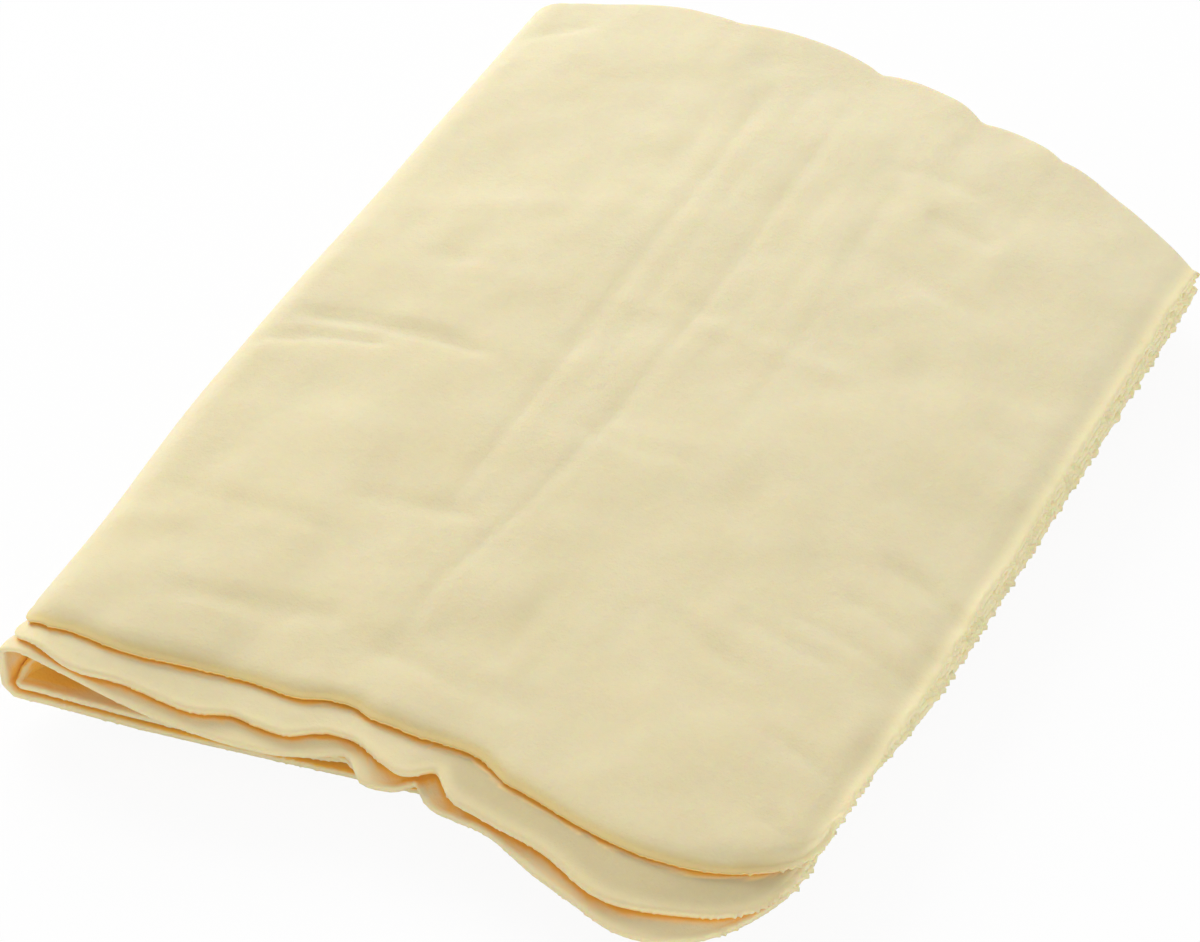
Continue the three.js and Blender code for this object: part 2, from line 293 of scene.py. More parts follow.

# How closed in a place between the layers is: rays sent out from it, how far they reach, and the
# value given to the loop's inside.
SHELTER_RAYS = 40
SHELTER_LEAST_FACING = 0.05  # of a ray that is counted
SHELTER_REACH = 24 * MM
SHELTER_FADE = 0.3  # how much less a surface at that distance closes in
LOOP_SHELTER = 0.66  # closeness given to the faces inside the last fold's loop, and so their painted shade
LOOP_SHELTER_RUN = 1.6 * MM
LIT_FLOOR = 0.45  # how much less closed in the loop's floor counts at its front, past the fold, so it takes less painted shade where light falls
LIT_FLOOR_START = 6 * MM
LIT_FLOOR_RUN = 6 * MM
LIT_FLOOR_DEPTH = 12 * MM
SHELTER_START = 0.08 * MM
WARM_SHELTER = (0.13, 0.38)  # where the painted shade starts to warm the colour between layers, and where it has
DEEP_SHELTER = (0.32, 0.62)


def smooth(value):
    t = np.clip(value, 0, 1)
    return t * t * (3 - 2 * t)


def bump(distance, run):
    return np.exp(-((distance / run) ** 2))


def sway(x, sways):
    """How far an edge lies behind its even line at x, in metres."""
    return sum(back * MM * bump(x - at * MM, run * MM) for at, run, back in sways)


def soft_noise(x, y, size, seed):
    """Smooth bumps from -1 to 1, about size apart."""
    cells = 64
    lattice = np.random.default_rng(seed).uniform(-1, 1, (cells, cells))
    i, j = np.floor(x / size).astype(int), np.floor(y / size).astype(int)
    u, v = smooth(x / size - i), smooth(y / size - j)
    near = lattice[i % cells, j % cells] * (1 - u) + lattice[(i + 1) % cells, j % cells] * u
    far = lattice[i % cells, (j + 1) % cells] * (1 - u) + lattice[(i + 1) % cells, (j + 1) % cells] * u
    return near * (1 - v) + far * v


def stroke(x, y, points, half_width):
    """How strongly a line through the points shows at x and y, from 0 to 1."""
    points = np.array(points, float)
    lengths = np.linalg.norm(np.diff(points, axis=0), axis=1)
    starts = np.concatenate([[0], np.cumsum(lengths)])
    nearest, along = np.full(x.shape, np.inf), np.zeros(x.shape)
    for (ax, ay), (bx, by), start, length in zip(points, points[1:], starts, lengths):
        share = np.clip(((x - ax) * (bx - ax) + (y - ay) * (by - ay)) / length**2, 0, 1)
        distance = np.hypot(x - ax - share * (bx - ax), y - ay - share * (by - ay))
        closer = distance < nearest
        nearest = np.where(closer, distance, nearest)
        along = np.where(closer, start + share * length, along)
    share = along / starts[-1]
    return bump(nearest, half_width) * smooth(share / STROKE_FADE) * smooth((1 - share) / STROKE_FADE)


def broad_relief(x, y):
    """Height of the soft unevenness that goes through the upper layers, in millimetres."""
    return sum(high * soft_noise(x, y, size, seed) for size, high, seed in BROAD_PUFFS)


def fine_relief(x, y):
    """Height of the marks and wrinkles in the top layer's upper skin, in millimetres."""
    height = sum(high * soft_noise(x, y, size, seed) for size, high, seed in FINE_PUFFS)
    for points, half_width, depth in MARKS + WRINKLES:
        height = height - depth * stroke(x, y, points, half_width)
    for (at_x, at_y), radius, depth in HOLLOWS:
        height = height - depth * bump(np.hypot(x - at_x, y - at_y), radius)
    return height


class Folding:
    """Turns a place on the flat sheet into a point of the folded stack, in metres.

    s runs along the sheet from one cut end to the other, and q across it: 0 at the front edge of
    the upper half, 1 to 2 round the first fold, and 3 at the front edge of the lower half.
    """

    def __init__(self, sizes):
        self.sizes = sizes
        self.pitch = sizes.thickness + sizes.layer_gap
        self.half_pair = self.pitch / 2
        outer, inner = 3 * self.pitch, self.pitch
        extra = inner + self.half_pair + sizes.thickness / 2 + END_OVERHANG
        bends = math.pi * (outer + 2 * inner)
        self.lower_length = (sizes.sheet_length - PUCKER_LENGTH - bends - 2 * extra) / 4
        self.upper_length = self.lower_length + extra
        self.depth = (sizes.sheet_width - math.pi * self.half_pair) / 2
        self.reach = self.upper_length - EDGE_ROUND
        heights = [sizes.thickness / 2 + (2 * pair + 0.5) * self.pitch for pair in (3, 0, 1, 2)]
        # Each stretch: its length, and either where it starts and its direction or its bend.
        self.stretches = [
            ("panel", self.reach, self.reach, -1, heights[TOP_PAIR]),
            ("bend", math.pi * outer, 0, -1, heights[TOP_PAIR], heights[BOTTOM_PAIR]),
            ("panel", self.lower_length, 0, 1, heights[BOTTOM_PAIR]),
            ("bend", math.pi * inner, self.lower_length, 1, heights[BOTTOM_PAIR], heights[SECOND_PAIR]),
            ("panel", self.lower_length, self.lower_length, -1, heights[SECOND_PAIR]),
            ("bend", math.pi * inner, 0, -1, heights[SECOND_PAIR], heights[THIRD_PAIR]),
            ("panel", self.reach, 0, 1, heights[THIRD_PAIR]),
        ]
        self.starts = np.cumsum([0] + [stretch[1] for stretch in self.stretches])
        self.length = self.starts[-1]
        self.offset = np.zeros(3)
        self.marked = False

    def run(self, s):
        """The middle of the pair of layers at s: place, normal, pair and distance from a cut end."""
        s = np.asarray(s, float)
        x, z, angle, pair = (np.zeros_like(s) for _ in range(4))
        which = np.clip(np.searchsorted(self.starts, s, "right") - 1, 0, len(self.stretches) - 1)
        for number, (kind, length, place, side, *heights) in enumerate(self.stretches):
            here = which == number
            along = s[here] - self.starts[number]
            if kind == "panel":
                x[here] = place + side * along
                z[here] = heights[0]
                angle[here] = 0 if side > 0 else math.pi
                pair[here] = number // 2
                continue
            radius = abs(heights[1] - heights[0]) / 2
            turn = along / radius
            upward = np.sign(heights[1] - heights[0])
            x[here] = place + side * radius * np.sin(turn)
            z[here] = sum(heights) / 2 - upward * radius * np.cos(turn)
            start = math.pi if side < 0 else 0
            angle[here] = start + side * upward * turn
            pair[here] = number // 2 + (1 - np.cos(turn)) / 2
        from_end = np.where((which == 0) | (which == 6), self.reach - x, np.inf)
        return x, z, np.sin(angle), -np.cos(angle), pair, from_end

    def along_pairs(self, pair, value_of):
        values = np.array([value_of(number) for number in range(4)])
        low = np.clip(np.floor(pair).astype(int), 0, 2)
        share = pair - low
        columns = np.arange(len(pair))
        return values[low, columns] * (1 - share) + values[low + 1, columns] * share

    def upper_front(self, x):
        mean = -self.depth - HALF_SETBACK / 2
        return mean + FRONT_DIP * bump(x - self.upper_length / 2, FRONT_DIP_RUN)

    def lower_front(self, x):
        return -self.depth - HALF_SETBACK + LOWER_FRONT_TURN * x

    def setback(self, x):
        along = np.maximum(x, 0)
        step = SETBACK_STEP * (1 - np.exp(-along / SETBACK_RUN))
        return HALF_SETBACK + step + SETBACK_SPREAD * (along / self.upper_length) ** 2

    def front(self, pair, upper_half, x):
        behind = self.setback(x) if upper_half else 0
        if upper_half and pair == SECOND_PAIR:
            eased = smooth((x - FLOOR_SETBACK_END) / FLOOR_SETBACK_RUN)
            behind = FLOOR_SETBACK + (behind - FLOOR_SETBACK) * eased
        if upper_half and pair == THIRD_PAIR:
            behind = behind + LOOP_SETBACK * bump(np.maximum(x, 0), LOOP_SETBACK_RUN)
            behind = behind * (1 - FILL_SHARE * bump(x - FILL_PLACE, FILL_RUN))
        if pair == TOP_PAIR:
            edge = self.upper_front(x) + sway(x, TOP_EDGE_SWAYS if upper_half else BAND_EDGE_SWAYS)
        elif pair == BOTTOM_PAIR:
            edge = self.lower_front(x) + LOWER_SETBACK
        elif pair == SECOND_PAIR:
            edge = self.lower_front(x) + sway(x, LOWER_EDGE_SWAYS)
        else:
            edge = self.upper_front(x) + sway(x, LIP_EDGE_SWAYS) - LIP_ADVANCE
        return edge + behind + EDGE_ROUND

    def bow(self, x):
        middle = self.upper_length / 2
        return 1 - ((x - middle) / middle) ** 2

    def back(self, pair, x):
        along = np.clip(x / self.upper_length, 0, 1)
        fall = BACK_REACH + BACK_END_REACH * along**4 - BACK_FALL * x / self.upper_length
        if pair in (TOP_PAIR, THIRD_PAIR):
            cusps = sum(deep * MM * np.exp(-np.abs(x / MM - at) / run) for at, run, deep in BACK_CUSPS)
            return fall + BACK_BOW * self.bow(x) - cusps + sway(x, BACK_SWAYS)
        return fall + LOWER_BACK_TURN * x + BACK_BOW * LOWER_BOW_SHARE * self.bow(x)

    def corner_turn(self, from_end, radius):
        radius = radius - EDGE_ROUND
        short = np.clip(radius - from_end, 0, radius)
        return radius - np.sqrt(radius**2 - short**2)

    def rolled(self, q, pair, run):
        """1 at the top layer's front edge, falling to 0 away from it."""
        return bump(q * self.depth, run) * smooth(1 - 2 * pair)

    def worn(self, q):
        """1 at the sheet's front edges, falling to 0 away from them."""
        return bump(np.minimum(q, 3 - q) * self.depth, EDGE_WEAR_RUN)

    def flare(self, x, y, z):
        """How far the last fold's front reaches out to the left, under its top layers."""
        near = 1 - smooth((y - self.front(THIRD_PAIR, False, x)) / LOOP_FLARE_DEPTH)
        level = (z - self.sizes.thickness / 2) / self.pitch
        under = smooth((LOOP_FLARE_TOP_LAYER - level) / LOOP_FLARE_LAYERS)
        return LOOP_FLARE * near * under * bump(np.maximum(x, 0), LOOP_FLARE_RUN)

    def lift(self, x, y, layer):
        """How far a layer stands off the flat stack."""
        front = smooth((y + self.depth) / self.depth)
        share = CROWN_FRONT_SHARE + (1 - CROWN_FRONT_SHARE) * front
        crown = CROWN * np.maximum(self.bow(x), 0) * share * layer / (LAYERS - 1)
        loop = self.sizes.loop_lift * bump(np.maximum(x, 0), LOOP_REACH_X)
        loop = loop * bump(np.maximum(y + self.depth, 0), LOOP_REACH_Y)
        loop = loop * smooth((layer - LOOP_FLOOR_LAYER) / (LOOP_ROOF_LAYER - LOOP_FLOOR_LAYER))
        aside = smooth((x - self.upper_length + CORNER_DROOP_RUN) / CORNER_DROOP_RUN)
        before = smooth((CORNER_DROOP_RUN - self.depth - y) / CORNER_DROOP_RUN)
        past = smooth((x - self.upper_length + END_OVERHANG) / END_OVERHANG)
        droop = CORNER_DROOP * aside * before + END_DROOP * past
        return crown + loop - droop * smooth(layer - LOWER_STACK_TOP_LAYER)

    def point(self, s, q, skin):
        """The point at s and q, on the skin that lies skin from the middle of the sheet."""
        x, z, nx, nz, pair, from_end = self.run(s)
        first, last = OUTER_SWEEP_PAIRS
        sweep = OUTER_SWEEP * smooth((pair - first) / OUTER_SWEEP_EASE)
        sweep = sweep * bump(np.maximum(x, 0), OUTER_SWEEP_RUN)
        sweep = sweep * smooth((last - pair) / OUTER_SWEEP_EASE)
        top_corner = self.corner_turn(from_end, TOP_CORNER_RADIUS)
        under_corner = self.corner_turn(from_end, UNDER_CORNER_RADIUS)
        upper = self.along_pairs(pair, lambda number: self.front(number, True, x)) + sweep
        upper = upper + np.where(pair < SECOND_PAIR, top_corner, under_corner)
        lower = self.along_pairs(pair, lambda number: self.front(number, False, x)) + sweep
        lower = lower + under_corner
        back = self.along_pairs(pair, lambda number: self.back(number, x))
        y = np.where(q < 1, upper + q * (back - upper), back)
        y = np.where(q > 2, back + (q - 2) * (lower - back), y)
        turn = math.pi * np.clip(q - 1, 0, 1)
        upward = 0.5 + 0.5 * np.sign(skin) * np.cos(turn) * nz
        rolled = self.rolled(q, pair, TOP_EDGE_WEAR_RUN) * TOP_EDGE_WEAR
        skin = skin - (self.worn(q) * EDGE_WEAR + rolled) * np.sign(skin) * upward
        y = y + (self.half_pair + skin) * np.sin(turn)
        side = (self.half_pair + skin) * np.cos(turn)
        layer = (z + self.half_pair * np.cos(turn) * nz - self.sizes.thickness / 2) / self.pitch
        depth = y + self.depth
        lower_share = self.along_pairs(pair, lambda number: np.full_like(x, number in LOWER_PAIRS))
        lean = SECOND_FOLD_TURN * lower_share * np.maximum(x, 0) * depth
        lean = lean / (self.lower_length * self.depth)
        reach = np.clip(1 - x / self.upper_length, 0, 1) ** 2
        inset = FRONT_INSET * (1 - smooth(depth / INSET_RUN))
        inset = inset + BACK_INSET * (1 - smooth((self.depth - depth) / INSET_RUN))
        end = BACK_END_INSET * np.clip(depth / self.depth, 0, 1) ** 2
        pulled = np.where((pair < SECOND_PAIR) & (q < 1), 0, CORNER_PULL)
        end = end + pulled * bump(depth - CORNER_PULL_PLACE, CORNER_PULL_RUN)
        end = end * np.clip(x / self.upper_length, 0, 1) ** 4
        dip = sum(deep * bump(x - at, run) for at, run, deep in LIP_DIPS)
        on_lip = (pair > THIRD_PAIR - ON_PAIR) & (q > 2)
        dip = np.where(on_lip, dip * (1 - smooth((y - lower) / LIP_RUN)), 0)
        height = z + side * nz + self.lift(x, y, layer) - dip
        across = x + side * nx + reach * inset - lean - end - self.flare(x + side * nx, y, z + side * nz)
        if self.marked:
            place = (across + self.offset[0]) / MM, (y + self.offset[1]) / MM
            broad = BROAD_DEPTH * np.tanh(self.sizes.relief * broad_relief(*place) / BROAD_DEPTH)
            fine = FINE_DEPTH * np.tanh(self.sizes.relief * fine_relief(*place) / FINE_DEPTH)
            on_top = smooth(layer - LAYERS + 2) * smooth(skin / self.sizes.thickness + 0.5)
            height = height + MM * (np.clip(layer / (LAYERS - 1), 0, 1) * broad + on_top * fine)
        return np.stack([across, y, height], -1) + self.offset


def grid_lines(folding):
    """Where the outer skin's lines run along and across the sheet, and which the inner one keeps."""
    corner = folding.sizes.corner_radius - EDGE_ROUND
    turns = np.linspace(0, math.pi / 2, CORNER_STEPS + 1)
    rounded = corner * (1 - np.cos(turns))
    steps = [TOP_STEPS, LAST_BEND_STEPS, LOWER_STEPS, SECOND_BEND_STEPS, LOWER_STEPS, INNER_BEND_STEPS]
    along, kept = [rounded], [np.ones(CORNER_STEPS + 1, bool)]
    starts = folding.starts
    firsts = [rounded[-1]] + list(starts[1:6]) + [starts[6]]
    lasts = list(starts[1:6]) + [starts[6], folding.length - rounded[-1]]
    for first, last, count, every in zip(firsts, lasts, steps + [TOP_STEPS], INNER_SHARES):
        along.append(np.linspace(first, last, count + 1)[1:])
        kept.append((np.arange(count) + 1) % every == 0)
    along.append((folding.length - rounded[::-1])[1:])
    kept.append(np.ones(CORNER_STEPS, bool))
    crowded = EDGE_SHARE * np.linspace(0, 1, EDGE_STEPS + 1) ** EDGE_CROWD
    across = np.concatenate([
        crowded,
        np.linspace(EDGE_SHARE, 1, UPPER_REST_STEPS + 1)[1:],
        np.linspace(1, 2, FIRST_FOLD_STEPS + 1)[1:],
        np.linspace(2, 3 - EDGE_SHARE, LOWER_REST_STEPS + 1)[1:],
        3 - crowded[-2::-1],
    ])
    upper = EDGE_STEPS + UPPER_REST_STEPS + FIRST_FOLD_STEPS
    numbers = np.arange(len(across))
    kept_across = np.where(numbers <= upper, numbers % INNER_EVERY == 0, True)
    return np.concatenate(along), np.concatenate(kept), across, kept_across


class SheetMesh:
    """Collects the vertices and faces of the closed sheet."""

    def __init__(self):
        self.points, self.flat, self.faces = [], [], []
        self.count = 0

    def add(self, points, flat):
        first = self.count
        self.points.append(points)
        self.flat.append(flat)
        self.count += len(points)
        return np.arange(first, self.count)

    def skin(self, folding, along, across, offset):
        """A grid of points on one skin, and the loop of its rim, from its first corner round."""
        s, q = np.meshgrid(along, across, indexing="ij")
        flat = np.stack([s.ravel(), q.ravel(), np.full(s.size, offset)], -1)
        rows = self.add(folding.point(*flat.T), flat).reshape(s.shape)
        a, b, c, d = rows[:-1, :-1], rows[1:, :-1], rows[1:, 1:], rows[:-1, 1:]
        self.faces += np.stack([a, b, c, d], -1).reshape(-1, 4).tolist()
        return np.concatenate([rows[:-1, 0], rows[-1, :-1], rows[:0:-1, -1], rows[0, :0:-1]])

    def fan(self, rim, places, row):
        """Joins a coarse rim to a finer row, whose places the rim's points stand at."""
        count = len(row)
        for k, first in enumerate(places):
            last = places[(k + 1) % len(places)]
            last = last if last > first else last + count
            middle = (first + last + 1) // 2
            here, there = rim[k], rim[(k + 1) % len(rim)]
            for n in range(first, last):
                near = here if n < middle else there
                self.faces.append([near, row[n % count], row[(n + 1) % count]])
            self.faces.append([here, row[middle % count], there])

    def band(self, row, other):
        after, other_after = np.roll(row, -1), np.roll(other, -1)
        self.faces += np.stack([row, after, other_after, other], -1).tolist()


def rim_places(along, across, spacing, folding):
    """Fine places round the sheet's rim, and at which of them each grid line ends."""
    ends = [(s, 0.0) for s in along[:-1]] + [(along[-1], q) for q in across[:-1]]
    ends += [(s, 3.0) for s in along[:0:-1]] + [(along[0], q) for q in across[:0:-1]]
    ends = np.array(ends)
    points = folding.point(ends[:, 0], ends[:, 1], np.zeros(len(ends)))
    lengths = np.linalg.norm(np.roll(points, -1, 0) - points, axis=1)
    counts = np.maximum(np.round(lengths / spacing).astype(int), 1)
    places, fine = [], []
    for here, there, count in zip(ends, np.roll(ends, -1, 0), counts):
        places.append(len(fine))
        fine += [here + (there - here) * k / count for k in range(count)]
    return np.array(fine), np.array(places)


def sheet_mesh(folding, sizes):
    along, kept_along, across, kept_across = grid_lines(folding)
    half = sizes.thickness / 2
    mesh = SheetMesh()
    outer_rim = mesh.skin(folding, along, across, half)
    inner_rim = mesh.skin(folding, along[kept_along], across[kept_across], -half)
    fine, places = rim_places(along, across, sizes.tooth_pitch / TOOTH_SAMPLES, folding)
    kept = np.concatenate([
        kept_along[:-1], kept_across[:-1], kept_along[:0:-1], kept_across[:0:-1],
    ])
    top = folding.point(fine[:, 0], fine[:, 1], np.full(len(fine), half))
    bottom = folding.point(fine[:, 0], fine[:, 1], np.full(len(fine), -half))
    middle, normal = (top + bottom) / 2, top - bottom
    thickness = np.linalg.norm(normal, axis=1)[:, None]
    normal /= thickness
    tangent = np.roll(middle, -EDGE_TANGENT_SPAN, 0) - np.roll(middle, EDGE_TANGENT_SPAN, 0)
    outward = np.cross(tangent, normal)
    outward /= np.linalg.norm(outward, axis=1)[:, None]
    inside = folding.point(np.array([folding.length / 2]), np.array([EDGE_SHARE]), np.array([0.0]))
    nearest = np.argmin(np.abs(fine[:, 0] - folding.length / 2) + fine[:, 1])
    outward *= -np.sign(np.dot(outward[nearest], inside[0] - middle[nearest]))
    # Teeth stand on the cut ends and corners, and are worn nearly straight along the fronts.
    rng = np.random.default_rng(TEETH_SEED)
    from_end = np.minimum(fine[:, 0], folding.length - fine[:, 0])
    toothed = 1 - FRONT_SMOOTHNESS * smooth(2 * from_end / sizes.corner_radius)
    ragged = TOOTH_SHARE * rng.uniform(-1, 1, len(fine))
    spikes = (rng.random(len(fine)) < SPIKE_SHARE) * rng.uniform(*SPIKE_REACH, len(fine))
    tooth = sizes.tooth_depth * toothed * (ragged + spikes)
    rows = []
    for degrees, tooth_share in EDGE_ROWS:
        turn = math.radians(degrees)
        reach = EDGE_ROUND * math.cos(turn) ** EDGE_SQUARENESS + tooth * tooth_share
        rise = math.copysign(abs(math.sin(turn)) ** EDGE_SQUARENESS, turn) / 2
        points = middle + outward * reach[:, None] + normal * thickness * rise
        rows.append(mesh.add(points, np.column_stack([fine, np.full(len(fine), 2 * half * rise)])))
    mesh.fan(outer_rim, places, rows[0])
    for row, other in zip(rows, rows[1:]):
        mesh.band(row, other)
    mesh.fan(inner_rim, places[kept], rows[-1])
    return mesh


def make_sheet(sizes):
    folding = Folding(sizes)
    low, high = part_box(NODE)
    along, across = REACH_SAMPLES
    s, q = np.meshgrid(np.linspace(0, folding.length, along), np.linspace(0, 3, across))
    reach = folding.point(s.ravel(), q.ravel(), np.full(s.size, sizes.thickness / 2))
    centre = (reach.min(0) + reach.max(0)) / 2
    folding.offset = np.array([(low.x + high.x) / 2 - centre[0], (low.y + high.y) / 2 - centre[1], 0])
    folding.marked = True
    made = sheet_mesh(folding, sizes)
    mesh = bpy.data.meshes.new("folded_chamois")
    mesh.from_pydata(np.concatenate(made.points), [], made.faces)
    piece = bpy.data.objects.new("folded_chamois", mesh)
    bpy.context.scene.collection.objects.link(piece)
    face_outwards(piece)
    mesh.polygons.foreach_set("use_smooth", np.ones(len(mesh.polygons), bool))
    lay_out(mesh, np.concatenate(made.flat), folding)
    mark_edges(mesh, np.concatenate(made.flat), folding)
    shelter(mesh, np.concatenate(made.flat), folding)
    return piece


def lay_out(mesh, flat, folding):
    """A UV map that is the flat sheet at one scale, its two skins side by side."""
    along = flat[:, 0] / folding.length
    wide = folding.depth / folding.length
    round_fold = math.pi * folding.half_pair / folding.length
    q = flat[:, 1]
    across = np.clip(q, 0, 1) * wide + np.clip(q - 1, 0, 1) * round_fold + np.clip(q - 2, 0, 1) * wide
    across = across / 2 + np.where(flat[:, 2] > 0, 0.5, 0)
    corners = np.zeros(len(mesh.loops), int)
    mesh.loops.foreach_get("vertex_index", corners)
    layout = mesh.uv_layers.new(name="flat_sheet")
    layout.data.foreach_set("uv", np.stack([along / 2, across], -1)[corners].astype(np.float32).ravel())


def write_mask(mesh, name, values):
    layer = mesh.attributes.new(name, "FLOAT", "POINT")
    layer.data.foreach_set("value", values.astype(np.float32))


def mark_edges(mesh, flat, folding):
    """Marks the cut edge's face, the cut ends' fuzz, and painted shade on the rolled edge and inner side.
    """
    from_end = np.minimum(flat[:, 0], folding.length - flat[:, 0])
    face = 1 - (np.abs(flat[:, 2]) / (folding.sizes.thickness / 2)) ** 4
    face = face * (1 - END_PALENESS * bump(from_end, END_FUZZ_RUN))
    # Painted shade on the top layer's rolled front edge, which turns down away from the light.
    rolled = folding.rolled(flat[:, 1], folding.run(flat[:, 0])[4], ROLLED_TINT_RUN)
    rolled = rolled * smooth(from_end / END_FUZZ_RUN / 2)
    # The cut face and the worn skin beside it take the cut tint: the edge's own yellower tone, with
    # painted light.
    write_mask(mesh, "cut_face", np.maximum(face, WORN_TINT * folding.worn(flat[:, 1])) * (1 - rolled))
    write_mask(mesh, "rolled_edge_painted_shade", rolled)
    write_mask(mesh, "end_fuzz", bump(from_end, FUZZ_RUN))
    # Painted shade: the inner side is darker near the cut ends.
    inner = smooth(0.5 - flat[:, 2] / folding.sizes.thickness)
    write_mask(mesh, "inner_side_painted_shade", inner * smooth((INNER_SHADE_REACH - from_end) / INNER_SHADE_RUN))


def shelter(mesh, flat, folding):
    """Writes how closed in each point is, from 0 in the open to 1 deep between the layers, for the painted
    shade.
    """
    points = np.zeros(len(mesh.vertices) * 3)
    mesh.vertices.foreach_get("co", points)
    points = points.reshape(-1, 3)
    normals = np.array([normal.vector for normal in mesh.vertex_normals])
    tree = BVHTree.FromPolygons(points.tolist(), [list(face.vertices) for face in mesh.polygons])
    golden = math.pi * (3 - math.sqrt(5))
    number = np.arange(SHELTER_RAYS)
    height = 1 - (2 * number + 1) / SHELTER_RAYS
    around = np.sqrt(1 - height**2)
    rays = np.stack([around * np.cos(golden * number), around * np.sin(golden * number), height], -1)
    facing = normals @ rays.T
    starts = points + normals * SHELTER_START
    blocked, total = np.zeros(len(points)), np.zeros(len(points))
    directions = [Vector(ray) for ray in rays]
    for n, direction in enumerate(directions):
        weight = np.clip(facing[:, n], 0, 1)
        total += weight
        for v in np.nonzero(weight > SHELTER_LEAST_FACING)[0]:
            hit = tree.ray_cast(starts[v], direction, SHELTER_REACH)
            if hit[0] is not None:
                blocked[v] += weight[v] * (1 - SHELTER_FADE * hit[3] / SHELTER_REACH)
    # Painted shade: the inside of the last fold's loop is given a least closeness, and the loop's floor
    # less at its front.
    in_loop = (flat[:, 0] > folding.starts[4]) & (flat[:, 1] < 1) & (flat[:, 2] > 0)
    from_edge = smooth(flat[:, 1] * folding.depth / LOOP_SHELTER_RUN)
    closed = np.maximum(blocked / total, LOOP_SHELTER * in_loop * from_edge)
    x, _, _, _, pair, _ = folding.run(flat[:, 0])
    on_floor = (np.abs(pair - SECOND_PAIR) < ON_PAIR) & (flat[:, 1] < 1)
    lit = on_floor * smooth((x - LIT_FLOOR_START) / LIT_FLOOR_RUN)
    closed = closed * (1 - LIT_FLOOR * lit * bump(flat[:, 1] * folding.depth, LIT_FLOOR_DEPTH))
    from_end = np.minimum(flat[:, 0], folding.length - flat[:, 0])
    write_mask(mesh, "shelter", closed * (1 - END_FUZZ * bump(from_end, END_FUZZ_RUN)))


def face_outwards(piece):
    bpy.ops.object.select_all(action="DESELECT")
    bpy.context.view_layer.objects.active = piece
    piece.select_set(True)
    bpy.ops.object.mode_set(mode="EDIT")
    bpy.ops.mesh.select_all(action="SELECT")
    bpy.ops.mesh.normals_make_consistent(inside=False)
    bpy.ops.object.mode_set(mode="OBJECT")


class Shader:
    """A small hand for building one node tree."""

    def __init__(self, tree):
        self.tree = tree
        tree.nodes.clear()

    def node(self, kind):
        return self.tree.nodes.new("ShaderNode" + kind)

    def link(self, source, target):
        self.tree.links.new(source, target)

    def put(self, sockets, values):
        """Links each value that is another node's output to its socket, and writes the others there."""
        for socket, value in zip(sockets, values):
            if hasattr(value, "is_output"):
                self.link(value, socket)
            else:
                socket.default_value = value

    def attribute(self, name):
        made = self.node("Attribute")
        made.attribute_name = name
        return made.outputs["Fac"]

    def math(self, operation, first, second=0.0, third=0.0):
        made = self.node("Math")
        made.operation = operation
        self.put(made.inputs, (first, second, third))
        return made.outputs[0]

    def spread(self, value, low, high, kind="SMOOTHSTEP"):
        """0 at the low value and 1 at the high one, held there past both."""
        made = self.node("MapRange")
        made.interpolation_type = kind
        sockets = [made.inputs[name] for name in ("Value", "From Min", "From Max")]
        self.put(sockets, (value, low, high))
        return made.outputs[0]

    def mix(self, share, first, second):
        made = self.node("Mix")
        made.data_type = "RGBA"
        self.put((made.inputs[0], made.inputs[6], made.inputs[7]), (share, first, second))
        return made.outputs[2]

    def noise(self, vector, scale, detail=2.0, roughness=0.5):
        made = self.node("TexNoise")
        sockets = [made.inputs[name] for name in ("Vector", "Scale", "Detail", "Roughness")]
        self.put(sockets, (vector, scale, detail, roughness))
        return made.outputs[0]


def chamois_colour(shader, place, colours):
    """Blotched cream, with painted shade towards the front and in the closed-in places, and its edges."""
    apart = shader.node("SeparateXYZ")
    shader.link(place, apart.inputs[0])
    low, high = CAD_BOX
    # Painted shade: the colour darkens from the back to the front, mixed with random blotches of the
    # cloth's own tone.
    front_share = shader.spread(apart.outputs["Y"], high[1], low[1], "LINEAR")
    blotch = shader.math("SUBTRACT", shader.noise(place, BLOTCH_SCALE, 3), 0.5)
    blotch_and_front_shade = shader.math("MULTIPLY_ADD", blotch, BLOTCH_SHARE, front_share)
    colour = shader.mix(blotch_and_front_shade, (*colours.face, 1), (*colours.blotch_and_front_shade, 1))
    masked = [
        ("inner_side_painted_shade", colours.inner_side_shade), ("cut_face", colours.cut), ("rolled_edge_painted_shade", colours.rolled),
        ("end_fuzz", colours.fuzz),
    ]
    for mask, tint in masked:
        colour = shader.mix(shader.attribute(mask), colour, (*tint, 1))
    # Painted shade: warm, then deep orange where the layers close in, for the shade and bounced light
    # there.
    closed = shader.attribute("shelter")
    colour = shader.mix(shader.spread(closed, *WARM_SHELTER), colour, (*colours.warm, 1))
    colour = shader.mix(shader.spread(closed, *DEEP_SHELTER), colour, (*colours.fold, 1))
    patches = shader.math("SUBTRACT", shader.noise(place, MOTTLE_SCALE, 4, MOTTLE_ROUGHNESS), 0.5)
    mottled = shader.node("HueSaturation")
    brighter = shader.math("MULTIPLY_ADD", patches, MOTTLE * NOISE_SPREAD, 1.0)
    shader.put((mottled.inputs["Value"], mottled.inputs["Color"]), (brighter, colour))
    return mottled.outputs[0]


def chamois_nap(shader, place):
    """The normal of a fine nap on small lumps."""
    nap = shader.math("MULTIPLY", shader.noise(place, NAP_SCALE, 2, NAP_ROUGHNESS), NAP_SHARE)
    height = shader.math("ADD", nap, shader.noise(place, LUMP_SCALE, 3))
    made = shader.node("Bump")
    sockets = [made.inputs[name] for name in ("Strength", "Distance", "Height")]
    shader.put(sockets, (NAP_STRENGTH, NAP_DEPTH, height))
    return made.outputs[0]


